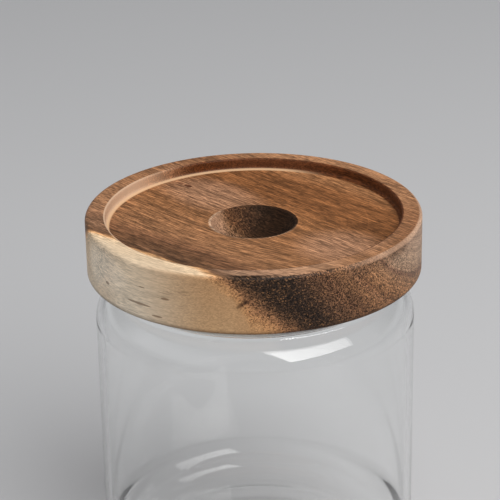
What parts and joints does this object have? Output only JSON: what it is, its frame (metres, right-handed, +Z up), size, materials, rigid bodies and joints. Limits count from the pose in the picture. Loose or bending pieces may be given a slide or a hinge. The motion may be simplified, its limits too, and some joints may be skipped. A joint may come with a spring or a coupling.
{
  "type": "glass jar with wooden lid",
  "caption": "Round clear glass storage jar with a rounded shoulder and a thick push-in wooden lid that has a raised rim, a finger dish and a ribbed seal.",
  "frame": {"origin": "centre of the foot, on the surface the jar stands on", "axes": "+Z up along the axis of jar and lid; -Y towards the picture's camera, +X to the right in the picture"},
  "size_m": [0.104, 0.104, 0.12],
  "materials": {
    "clear_glass": "clear, fire-polished, very faintly cool",
    "lid_wood": "oiled satin hardwood, brown heartwood with a pale sapwood side",
    "clear_silicone": "translucent moulded silicone"
  },
  "bodies": {
    "jar": {"glass_jar": "clear_glass"},
    "lid": {"wooden_lid": "lid_wood", "seal_ring": "clear_silicone"}
  },
  "joints": [
    {"name": "lid_lift", "type": "slide", "parent": "jar", "child": "lid", "axis": [0, 0, 1], "range_m": [0, 0.06]}
  ]
}
